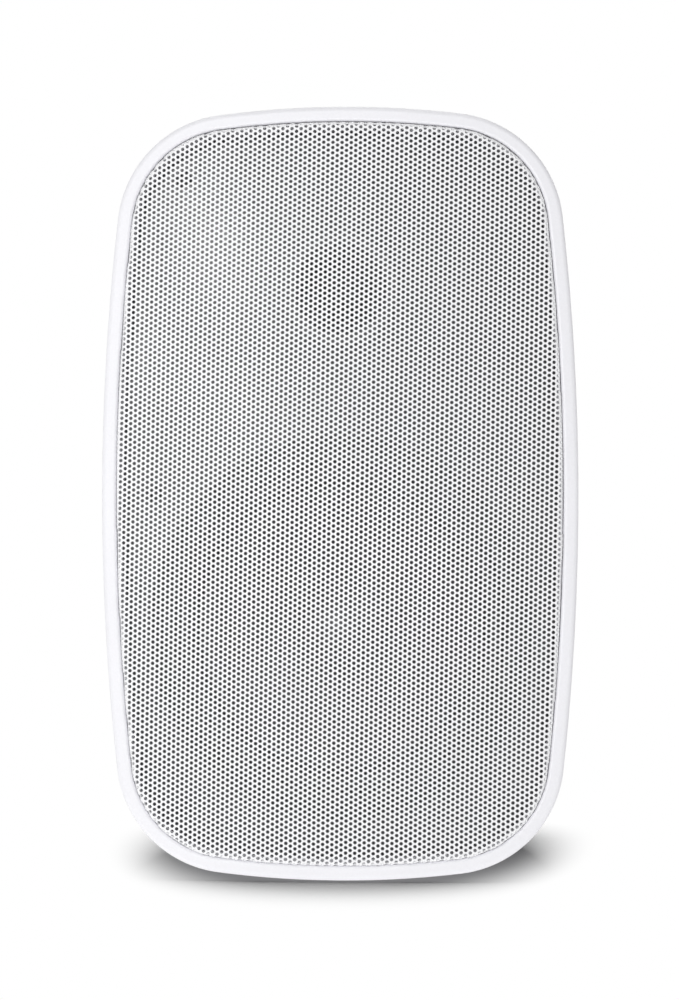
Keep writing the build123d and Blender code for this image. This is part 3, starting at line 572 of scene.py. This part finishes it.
class GrilleOutline:
    """The sheet's outline: two bowed sides and two crowns, with an arc in each corner."""

    def __init__(self, sizes):
        half_across = (GRILLE_HIGH.x - GRILLE_LOW.x) / 2
        half_up = (GRILLE_HIGH.z - GRILLE_LOW.z) / 2
        inset = SHELL_HIGH.x - GRILLE_HIGH.x
        self.side = sizes.side_radius - inset
        self.crown = sizes.crown_radius - inset
        self.corner = sizes.corner_radius - inset
        self.side_x = half_across - self.side
        self.crown_z = half_up - self.crown
        span = hypot(self.side_x, self.crown_z)
        side_arm, crown_arm = self.side - self.corner, self.crown - self.corner
        along = (side_arm**2 - crown_arm**2 + span**2) / (2 * span)
        off = sqrt(side_arm**2 - along**2)
        self.corner_x = self.side_x - (self.side_x * along + self.crown_z * off) / span
        self.corner_z = (self.crown_z * along - self.side_x * off) / span
        self.side_turn = atan2(self.corner_z, self.corner_x - self.side_x)
        self.crown_turn = atan2(self.corner_z - self.crown_z, self.corner_x)

    def inside(self, across, up):
        """How far points lie inside the outline, and the outward way from them."""
        x, z = np.abs(across), np.abs(up - MIDDLE_Z)
        turn = np.arctan2(z - self.corner_z, x - self.corner_x)
        on_side = turn < self.side_turn
        on_crown = turn > self.crown_turn
        middle_x = np.where(on_side, self.side_x, np.where(on_crown, 0, self.corner_x))
        middle_z = np.where(on_side, 0, np.where(on_crown, self.crown_z, self.corner_z))
        radius = np.where(on_side, self.side, np.where(on_crown, self.crown, self.corner))
        arm = np.hypot(x - middle_x, z - middle_z)
        way_x = np.sign(across) * (x - middle_x) / arm
        way_z = np.sign(up - MIDDLE_Z) * (z - middle_z) / arm
        return radius - arm, way_x, way_z


def bent_and_domed(sizes, outline, flat):
    """Where the points of the flat sheet lie once it is domed and its border is bent back."""
    across, sink, up = flat.T
    gap, way_x, way_z = outline.inside(across, up)
    bend_run = np.clip(sizes.edge_round - gap, 0, None)
    bend = np.minimum(bend_run / sizes.edge_round, pi / 2)
    straight = bend_run - bend * sizes.edge_round
    radius = sizes.edge_round - sink
    pulled = np.where(bend_run > 0, sizes.edge_round - radius * np.sin(bend) - gap, 0)
    across = across - way_x * pulled
    up = up - way_z * pulled
    dome = across**2 / (2 * sizes.bulge_across) + (up - MIDDLE_Z) ** 2 / (2 * sizes.bulge_up)
    depth = sizes.edge_round - radius * np.cos(bend) + straight
    return np.stack((across, FRONT_Y + dome + depth, up - sizes.sag), axis=1)


def lattice_of_holes(sizes):
    """A flat sheet of triangles with a vertex where each hole goes."""
    columns = 2 * int((GRILLE_HIGH.x - GRILLE_LOW.x) / sizes.column / 2 + 3)
    rows = 2 * int((GRILLE_HIGH.z - GRILLE_LOW.z) / sizes.pitch / 2 + 4)
    deselect_all()
    bpy.ops.mesh.primitive_grid_add(x_subdivisions=columns, y_subdivisions=rows, size=1)
    piece = active_piece("grille_sheet")
    piece.scale = (columns * sizes.column, rows * sizes.pitch, 1)
    bpy.ops.object.transform_apply(scale=True)
    every_other = np.round(points_of(piece.data)[:, 0] / sizes.column).astype(int) % 2 == 1
    select_points(piece, every_other)
    bpy.ops.transform.translate(value=(0, sizes.pitch / 2, 0))
    bpy.ops.mesh.select_all(action="SELECT")
    bpy.ops.mesh.quads_convert_to_tris(quad_method="SHORTEST_DIAGONAL")
    bpy.ops.object.mode_set(mode="OBJECT")
    piece.rotation_euler = (pi / 2, sizes.turn, 0)
    piece.location = (sizes.phase_across, 0, MIDDLE_Z + sizes.phase_up)
    bpy.ops.object.transform_apply(location=True, rotation=True)
    return piece


class SPEAKER_OT_grille(bpy.types.Operator):
    """Makes the domed sheet with its round holes and its turned-back edge"""
    bl_idname = "speaker.grille"
    bl_label = "Perforated grille"

    def execute(self, context):
        sizes = context.scene.speaker_grille
        outline = GrilleOutline(sizes)
        sheet = lattice_of_holes(sizes)
        self.trim(sheet, sizes, outline)
        centres = points_of(sheet.data)
        self.add_border(sheet, sizes, outline)
        self.cut_holes(sheet, sizes, len(centres))
        self.round_holes(sheet, sizes, centres)
        left, right = self.add_walls(sheet, sizes, outline)
        edge = self.outer_edge(sheet, sizes, outline)
        for piece in (sheet, left, right):
            move_points(piece.data, bent_and_domed(sizes, outline, points_of(piece.data)))
        self.turn_edge(sheet, edge)
        coat = powder_coat("white_powder_coat", context.scene.speaker_finishes.sheet)
        for piece in (sheet, left, right):
            place_piece(piece, "white_sheet", coat)
            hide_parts("grille")
        return {"FINISHED"}

    def trim(self, sheet, sizes, outline):
        """Drops what lies past the bend, and points that are left without a face."""
        places = points_of(sheet.data)
        select_points(sheet, outline.inside(places[:, 0], places[:, 2])[0] < -sizes.overrun)
        bpy.ops.mesh.delete(type="VERT")
        bpy.ops.mesh.select_all(action="SELECT")
        bpy.ops.mesh.delete_loose(use_verts=True, use_edges=True, use_faces=False)
        bpy.ops.object.mode_set(mode="OBJECT")

    def add_border(self, sheet, sizes, outline):
        """Carries the ragged edge of the lattice out to an even border."""
        inner = len(sheet.data.vertices)
        bpy.ops.object.mode_set(mode="EDIT")
        bpy.ops.mesh.select_mode(type="EDGE")
        bpy.ops.mesh.select_all(action="DESELECT")
        bpy.ops.mesh.select_non_manifold(extend=False)
        bpy.ops.mesh.extrude_edges_move()
        bpy.ops.object.mode_set(mode="OBJECT")
        places = points_of(sheet.data)
        rim = places[inner:]
        gap, way_x, way_z = outline.inside(rim[:, 0], rim[:, 2])
        rim[:, 0] += way_x * (gap + sizes.border)
        rim[:, 2] += way_z * (gap + sizes.border)
        move_points(sheet.data, places)

    def cut_holes(self, sheet, sizes, count):
        """Bevels every point of the lattice into an opening and drops the faces that fill it."""
        marks = [bpy.data.materials.new(name) for name in ("kept_sheet", "cut_opening")]
        for mark in marks:
            sheet.data.materials.append(mark)
        select_points(sheet, np.arange(len(sheet.data.vertices)) < count)
        bpy.ops.mesh.bevel(
            offset=sizes.hole / 2, affect="VERTICES", segments=2, clamp_overlap=False, material=1
        )
        bpy.ops.object.mode_set(mode="OBJECT")
        filled = np.empty(len(sheet.data.polygons), dtype=np.int32)
        sheet.data.polygons.foreach_get("material_index", filled)
        select_faces(sheet, filled == 1)
        bpy.ops.mesh.delete(type="FACE")
        bpy.ops.object.mode_set(mode="OBJECT")
        sheet.data.materials.clear()
        for mark in marks:
            bpy.data.materials.remove(mark)

    def round_holes(self, sheet, sizes, centres):
        """Moves the points of every opening onto a circle."""
        tree = KDTree(len(centres))
        for index, centre in enumerate(centres):
            tree.insert(centre, index)
        tree.balance()
        places = points_of(sheet.data)
        for place in places:
            centre, _, distance = tree.find(place)
            if distance < sizes.hole * NEAR_HOLE:
                place[:] = centre + (Vector(place) - centre) * (sizes.hole / 2 / distance)
        move_points(sheet.data, places)

    def add_walls(self, sheet, sizes, outline):
        """Draws the rims of the holes inwards, as two pieces of thin walls."""
        self.pick_open_edges(sheet, lambda gap: gap > -OUTERMOST * sizes.border, outline)
        bpy.ops.mesh.duplicate()
        bpy.ops.mesh.separate(type="SELECTED")
        bpy.ops.object.mode_set(mode="OBJECT")
        walls = next(piece for piece in bpy.context.selected_objects if piece is not sheet)
        work_on(walls)
        bpy.ops.object.mode_set(mode="EDIT")
        bpy.ops.mesh.select_all(action="SELECT")
        bpy.ops.mesh.extrude_edges_move(TRANSFORM_OT_translate={"value": (0, sizes.thickness, 0)})
        bpy.ops.mesh.select_all(action="SELECT")
        bpy.ops.mesh.normals_make_consistent(inside=True)
        bpy.ops.mesh.faces_shade_smooth()
        bpy.ops.object.mode_set(mode="OBJECT")
        middles = np.empty(len(walls.data.polygons) * 3)
        walls.data.polygons.foreach_get("center", middles)
        select_faces(walls, middles[0::3] > 0)
        bpy.ops.mesh.separate(type="SELECTED")
        bpy.ops.object.mode_set(mode="OBJECT")
        right = next(piece for piece in bpy.context.selected_objects if piece is not walls)
        for piece, name in ((walls, "grille_hole_walls_left"), (right, "grille_hole_walls_right")):
            piece.name = name
            piece.data.name = name
        return walls, right

    def pick_open_edges(self, sheet, wanted, outline):
        """Selects open edges by how far they lie inside the outline."""
        work_on(sheet)
        bpy.ops.object.mode_set(mode="EDIT")
        bpy.ops.mesh.select_mode(type="EDGE")
        bpy.ops.mesh.select_all(action="DESELECT")
        bpy.ops.mesh.select_non_manifold(extend=False)
        bpy.ops.object.mode_set(mode="OBJECT")
        picked = np.empty(len(sheet.data.edges), dtype=bool)
        sheet.data.edges.foreach_get("select", picked)
        ends = np.empty(len(sheet.data.edges) * 2, dtype=np.int32)
        sheet.data.edges.foreach_get("vertices", ends)
        places = points_of(sheet.data)
        gaps = outline.inside(places[:, 0], places[:, 2])[0][ends.reshape(-1, 2)].min(axis=1)
        bpy.ops.object.mode_set(mode="EDIT")
        bpy.ops.mesh.select_all(action="DESELECT")
        bpy.ops.object.mode_set(mode="OBJECT")
        sheet.data.edges.foreach_set("select", picked & wanted(gaps))
        bpy.ops.object.mode_set(mode="EDIT")

    def outer_edge(self, sheet, sizes, outline):
        """Which edges run along the border of the flat sheet."""
        self.pick_open_edges(sheet, lambda gap: gap < -OUTERMOST * sizes.border, outline)
        bpy.ops.object.mode_set(mode="OBJECT")
        picked = np.empty(len(sheet.data.edges), dtype=bool)
        sheet.data.edges.foreach_get("select", picked)
        return picked

    def turn_edge(self, sheet, edge):
        """Carries the bent edge straight back onto its shelf."""
        before = len(sheet.data.vertices)
        work_on(sheet)
        bpy.ops.object.mode_set(mode="EDIT")
        bpy.ops.mesh.select_mode(type="EDGE")
        bpy.ops.mesh.select_all(action="DESELECT")
        bpy.ops.object.mode_set(mode="OBJECT")
        sheet.data.edges.foreach_set("select", edge)
        bpy.ops.object.mode_set(mode="EDIT")
        bpy.ops.mesh.extrude_edges_move()
        bpy.ops.object.mode_set(mode="OBJECT")
        places = points_of(sheet.data)
        places[before:, 1] = GRILLE_HIGH.y
        move_points(sheet.data, places)
        bpy.ops.object.mode_set(mode="EDIT")
        bpy.ops.mesh.select_all(action="SELECT")
        bpy.ops.mesh.normals_make_consistent(inside=False)
        bpy.ops.object.mode_set(mode="OBJECT")


# Screws

def cross_cutter(sizes):
    """The tool that presses a cross recess: two crossed bars that taper downwards."""
    deselect_all()
    bars = []
    for turn in (0, pi / 2):
        bpy.ops.mesh.primitive_cube_add(size=1, location=(0, 0, sizes.head_height - sizes.recess_depth / 2))
        bar = active_piece("recess_bar")
        bar.scale = (2 * sizes.recess_reach, sizes.recess_width, sizes.recess_depth * RECESS_SPARE)
        bar.rotation_euler = (0, 0, turn)
        bpy.ops.object.transform_apply(location=True, rotation=True, scale=True)
        select_points(bar, points_of(bar.data)[:, 2] < sizes.head_height - sizes.recess_depth / 2)
        bpy.ops.transform.resize(value=(RECESS_TAPER, RECESS_TAPER, 1))
        bpy.ops.object.mode_set(mode="OBJECT")
        bars.append(bar)
    cut(bars[0], bars[1], "UNION")
    return bars[0]


def cut(piece, tool, operation="DIFFERENCE"):
    """Works one piece with another, which is used up."""
    work_on(piece)
    modifier = piece.modifiers.new("cut", "BOOLEAN")
    modifier.operation = operation
    modifier.object = tool
    bpy.ops.object.modifier_apply(modifier=modifier.name)
    bpy.data.objects.remove(tool)


def pan_screw(sizes, shank_length):
    """One pan-head screw, standing on its seat with the head up."""
    deselect_all()
    bpy.ops.mesh.primitive_cylinder_add(
        vertices=32, radius=sizes.head_radius, depth=sizes.head_height, location=(0, 0, sizes.head_height / 2)
    )
    screw = active_piece("screw")
    bpy.ops.object.transform_apply(location=True)
    select_points(screw, points_of(screw.data)[:, 2] > sizes.head_height / 2)
    bpy.ops.mesh.bevel(offset=sizes.head_round, segments=4, affect="EDGES")
    bpy.ops.object.mode_set(mode="OBJECT")
    cut(screw, cross_cutter(sizes))
    select_points(screw, points_of(screw.data)[:, 2] < sizes.head_height * ON_SEAT)
    bpy.ops.mesh.select_mode(type="FACE")
    bpy.ops.mesh.inset(thickness=sizes.head_radius - sizes.shank_radius)
    bpy.ops.mesh.extrude_region_move(TRANSFORM_OT_translate={"value": (0, 0, -shank_length)})
    bpy.ops.object.mode_set(mode="OBJECT")
    work_on(screw)
    bpy.ops.object.shade_smooth_by_angle(angle=SMOOTH_ANGLE)
    return screw


def seat_screws(context, node, name, places, facing, slot, finish):
    """Puts screws on their seats in the place of a CAD node."""
    sizes = context.scene.speaker_screws
    low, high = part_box(node)
    shank = high.y - low.y - sizes.head_height
    seat = low.y + sizes.head_height if facing < 0 else high.y - sizes.head_height
    first = pan_screw(sizes, shank)
    screws = []
    for count, (x, z) in enumerate(places):
        work_on(first)
        bpy.ops.object.duplicate()
        screw = bpy.context.object
        screw.rotation_euler = (-facing * pi / 2, FIRST_TURN + NEXT_TURN * count, 0)
        screw.location = (x, seat, z)
        screws.append(screw)
    bpy.data.objects.remove(first)
    work_on(*screws)
    bpy.ops.object.transform_apply(location=True, rotation=True)
    bpy.ops.object.join()
    piece = active_piece(name)
    place_piece(piece, slot, finish)
    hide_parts(node)


def corner_places(node, inset):
    """The four corners of a node's box, inset to the middles of its screws."""
    low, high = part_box(node)
    return [(x, z) for x in (low.x + inset, high.x - inset) for z in (low.z + inset, high.z - inset)]


# Stage

class SPEAKER_OT_stage(bpy.types.Operator):
    """Sets the floor, the soft lights and the camera"""
    bl_idname = "speaker.stage"
    bl_label = "Studio stage"

    def execute(self, context):
        sizes = context.scene.speaker_stage
        self.add_camera(context, sizes)
        self.add_lights(sizes, self.add_floor(sizes))
        self.light_world(context, sizes)
        context.scene.view_settings.view_transform = "Standard"
        return {"FINISHED"}

    def add_camera(self, context, sizes):
        aim = Vector((0, FRONT_Y + sizes.rim_depth, MIDDLE_Z - sizes.aim_drop))
        way = Vector((
            sin(sizes.azimuth) * cos(sizes.elevation),
            -cos(sizes.azimuth) * cos(sizes.elevation),
            sin(sizes.elevation),
        ))
        deselect_all()
        bpy.ops.object.camera_add(
            location=aim + way * sizes.distance, rotation=way.to_track_quat("Z", "Y").to_euler()
        )
        camera = context.object
        camera.name = "photo_camera"
        camera.data.lens = sizes.lens
        camera.data.clip_start = 0.01
        context.scene.camera = camera

    def add_lights(self, sizes, floor):
        """Softboxes. The floor has one of its own, and the others leave it out."""
        for name, place, size, power in (
            ("key_softbox", (-1.55, -1.05, 0.65), 0.9, sizes.key_light),
            ("front_softbox", (-0.43, -1.75, 0.31), 0.62, sizes.front_light),
            ("top_softbox", (0, 0.25, 1.35), 1.0, sizes.top_light),
            ("back_softbox", (0.5, 1.7, 0.5), 1.1, sizes.back_light),
        ):
            self.link_floor(self.add_softbox(name, place, size, power), floor, "EXCLUDE")
        strip = self.add_softbox("strip_softbox", (-0.245, -1.75, 0.405), 0.22, sizes.strip_light)
        strip.data.shape = "RECTANGLE"
        strip.data.size_y = 0.07
        strip.rotation_euler.rotate_axis("Z", radians(62))
        self.link_floor(strip, floor, "EXCLUDE")
        floor_lamp = self.add_softbox("floor_softbox", (0, 0.03, 1.35), 0.42, sizes.floor_light)
        floor_lamp.data.shape = "DISK"
        self.link_floor(floor_lamp, floor, "INCLUDE")

    def link_floor(self, lamp, floor, state):
        """Says whether a lamp lights all but the floor, or the floor alone."""
        receivers = bpy.data.collections.new(lamp.name + "_receivers")
        receivers.objects.link(floor)
        receivers.collection_objects[0].light_linking.link_state = state
        lamp.light_linking.receiver_collection = receivers

    def add_softbox(self, name, place, size, power):
        way = Vector(place) - Vector((0, 0, MIDDLE_Z))
        deselect_all()
        bpy.ops.object.light_add(
            type="AREA", location=place, rotation=way.to_track_quat("Z", "Y").to_euler()
        )
        lamp = bpy.context.object
        lamp.name = name
        lamp.data.energy = power
        lamp.data.size = size
        return lamp

    def add_floor(self, sizes):
        deselect_all()
        bpy.ops.mesh.primitive_circle_add(
            vertices=96, radius=FLOOR_RADIUS, fill_type="NGON", location=(0, 0, -FLOOR_DROP)
        )
        floor = active_piece("floor")
        look = Look("floor_paper")
        shown = look.shown()
        reach = look.node(
            "ShaderNodeVectorMath", {"operation": "MULTIPLY_ADD"},
            {
                0: look.place(),
                1: (1 / sizes.shadow_across, 1 / sizes.shadow_along, 0),
                2: (0, -sizes.shadow_back / sizes.shadow_along, 0),
            },
        )
        far = look.node("ShaderNodeVectorMath", {"operation": "LENGTH"}, {0: reach}, output="Value")
        fade = look.node(
            "ShaderNodeMapRange", {"interpolation_type": "SMOOTHSTEP"},
            {"Value": far, "From Min": sizes.shadow_core, "From Max": 1.0},
        )
        paper = look.node("ShaderNodeBsdfDiffuse", None, {"Color": (PAPER_GREY, PAPER_GREY, PAPER_GREY, 1)})
        white = look.node("ShaderNodeEmission", None, {"Strength": 1.0})
        sight = look.node("ShaderNodeMixShader", None, {0: fade, 1: paper, 2: white})
        bounce = look.node("ShaderNodeEmission", None, {"Strength": sizes.floor_level})
        surface = look.node("ShaderNodeMixShader", None, {0: shown, 1: bounce, 2: sight})
        look.node("ShaderNodeOutputMaterial", None, {"Surface": surface})
        floor.data.materials.append(look.material)
        return floor

    def light_world(self, context, sizes):
        world = bpy.data.worlds.new("white_surround")
        world.use_nodes = True
        look = Look("white_surround", world.node_tree)
        shown = look.shown()
        level = sizes.ambient + shown * (1 - sizes.ambient)
        surround = look.node("ShaderNodeBackground", None, {"Color": (1, 1, 1, 1), "Strength": level})
        look.node("ShaderNodeOutputWorld", None, {"Surface": surround})
        context.scene.world = world


# Dressing of the CAD nodes, group by group

class SPEAKER_OT_cabinet(bpy.types.Operator):
    """Gives the cabinet and its bracket inserts their finish"""
    bl_idname = "speaker.cabinet"
    bl_label = "Cabinet"

    def execute(self, context):
        dress(moulded("white_moulding", context.scene.speaker_finishes.shell, 0.44), "cabinet_shell")
        dress(turned_brass("insert_brass", (0.78, 0.55, 0.26)), "bracket_inserts")
        return {"FINISHED"}


class SPEAKER_OT_baffle(bpy.types.Operator):
    """Gives the baffle its finish and its screws"""
    bl_idname = "speaker.baffle"
    bl_label = "Baffle"

    def execute(self, context):
        tint = context.scene.speaker_finishes.baffle
        dress(moulded("baffle_black", tint, 0.15, grain_depth=0.000002, specular=0.25), "front_baffle")
        dress(shared("gasket_foam"), "baffle_gasket")
        sizes = context.scene.speaker_screws
        low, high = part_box("baffle_screws")
        places = [(x, MIDDLE_Z) for x in (low.x + sizes.head_radius, high.x - sizes.head_radius)]
        for x in (-sizes.baffle_corner, sizes.baffle_corner):
            places += [(x, low.z + sizes.head_radius), (x, high.z - sizes.head_radius)]
        black = shared("blackened_steel")
        seat_screws(context, "baffle_screws", "baffle_pan_screws", places, -1, "black_screw", black)
        return {"FINISHED"}


class SPEAKER_OT_woofer(bpy.types.Operator):
    """Gives the woofer its finishes and its screws"""
    bl_idname = "speaker.woofer"
    bl_label = "Woofer"

    def execute(self, context):
        dress(powder_coat("frame_paint", (0.05, 0.05, 0.054)), "woofer_frame")
        dress(shared("gasket_foam"), "woofer_gasket")
        flexing_ring(
            "woofer_surround",
            shared("surround_rubber"),
        )
        tint = context.scene.speaker_finishes.cone
        dress(cone_sheet("cone_material", tint), "woofer_cone", "woofer_dust_cap")
        flexing_ring(
            "woofer_spider",
            woven("spider_cloth", (0.6, 0.42, 0.16), 0.0008, 0.9),
        )
        dress(shared("coil_copper"), "woofer_voice_coil")
        dress(shared("zinc_plate"), "woofer_top_plate", "woofer_back_plate")
        dress(shared("magnet_ferrite"), "woofer_magnet")
        places = corner_places("woofer_screws", context.scene.speaker_screws.head_radius)
        black = shared("blackened_steel")
        seat_screws(context, "woofer_screws", "woofer_pan_screws", places, -1, "black_screw", black)
        return {"FINISHED"}


class SPEAKER_OT_tweeter(bpy.types.Operator):
    """Gives the tweeter its finishes"""
    bl_idname = "speaker.tweeter"
    bl_label = "Tweeter"

    def execute(self, context):
        dress(moulded("faceplate_black", context.scene.speaker_finishes.baffle, 0.3), "tweeter_faceplate")
        dress(shared("gasket_foam"), "tweeter_gasket")
        dress(shared("surround_rubber"), "tweeter_roll")
        dress(woven("dome_silk", (0.08, 0.08, 0.084), 0.0003, 0.6), "tweeter_dome")
        dress(shared("coil_copper"), "tweeter_voice_coil")
        dress(shared("zinc_plate"), "tweeter_pole_plate", "tweeter_rear_cup")
        dress(shared("magnet_ferrite"), "tweeter_magnet")
        return {"FINISHED"}


class SPEAKER_OT_terminals(bpy.types.Operator):
    """Gives the terminal cup its finish, its clamps their colours and its flange its screws"""
    bl_idname = "speaker.terminals"
    bl_label = "Terminals"

    def execute(self, context):
        tints = context.scene.speaker_finishes
        dress(moulded("cup_black", tints.cup, 0.42), "terminal_cup")
        dress(shared("gasket_foam"), "terminal_gasket")
        zinc = shared("zinc_plate")
        dress(zinc, "terminal_pin")
        dress(plated("tinned_brass", (0.7, 0.66, 0.58), 0.3), "terminal_tabs")
        dress(gloss("red_clamp", tints.red), "red_lever")
        dress(gloss("black_clamp", (0.018, 0.018, 0.02)), "black_lever")
        places = corner_places("terminal_screws", context.scene.speaker_screws.head_radius)
        seat_screws(context, "terminal_screws", "terminal_pan_screws", places, 1, "steel_screw", zinc)
        return {"FINISHED"}


class SPEAKER_OT_crossover(bpy.types.Operator):
    """Gives the crossover and the wadding their finishes"""
    bl_idname = "speaker.crossover"
    bl_label = "Crossover and wadding"

    def execute(self, context):
        dress(circuit_board("board_lacquer", (0.03, 0.16, 0.06)), "crossover_board")
        dress(shared("zinc_plate"), "crossover_screws")
        dress(shared("coil_copper"), "crossover_inductor")
        dress(gloss("film_wrap", (0.62, 0.4, 0.05)), "crossover_capacitor")
        dress(fired_ceramic("resistor_cement", (0.8, 0.79, 0.75)), "crossover_resistor")
        dress(fibre_fill("polyester_wadding", (0.82, 0.82, 0.8)), "wadding")
        return {"FINISHED"}


class SPEAKER_PT_panel(bpy.types.Panel):
    """Lists the steps that dress the speaker"""
    bl_idname = "SPEAKER_PT_panel"
    bl_label = "Patio speaker"
    bl_space_type = "VIEW_3D"
    bl_region_type = "UI"
    bl_category = "Speaker"

    def draw(self, context):
        for step in STEPS:
            self.layout.operator(step.bl_idname)
        for name, kind in GROUPS.items():
            box = self.layout.box()
            for size in kind.__annotations__:
                box.prop(getattr(context.scene, name), size)


STEPS = (
    SPEAKER_OT_cabinet, SPEAKER_OT_grille, SPEAKER_OT_baffle, SPEAKER_OT_woofer, SPEAKER_OT_tweeter,
    SPEAKER_OT_terminals, SPEAKER_OT_crossover, SPEAKER_OT_stage,
)
GROUPS = {
    "speaker_grille": SpeakerGrilleSizes,
    "speaker_screws": SpeakerScrewSizes,
    "speaker_finishes": SpeakerFinishes,
    "speaker_stage": SpeakerStageSizes,
}


def register():
    for group in (*GROUPS.values(), *STEPS, SPEAKER_PT_panel):
        bpy.utils.register_class(group)
    for name, group in GROUPS.items():
        setattr(bpy.types.Scene, name, PointerProperty(type=group))


def unregister():
    for name in GROUPS:
        delattr(bpy.types.Scene, name)
    for group in (SPEAKER_PT_panel, *reversed(STEPS), *GROUPS.values()):
        bpy.utils.unregister_class(group)


def main():
    register()
    bpy.ops.speaker.cabinet()
    bpy.ops.speaker.grille()
    bpy.ops.speaker.baffle()
    bpy.ops.speaker.woofer()
    bpy.ops.speaker.tweeter()
    bpy.ops.speaker.terminals()
    bpy.ops.speaker.crossover()
    bpy.ops.speaker.stage()


if __name__ == "__main__":
    main()
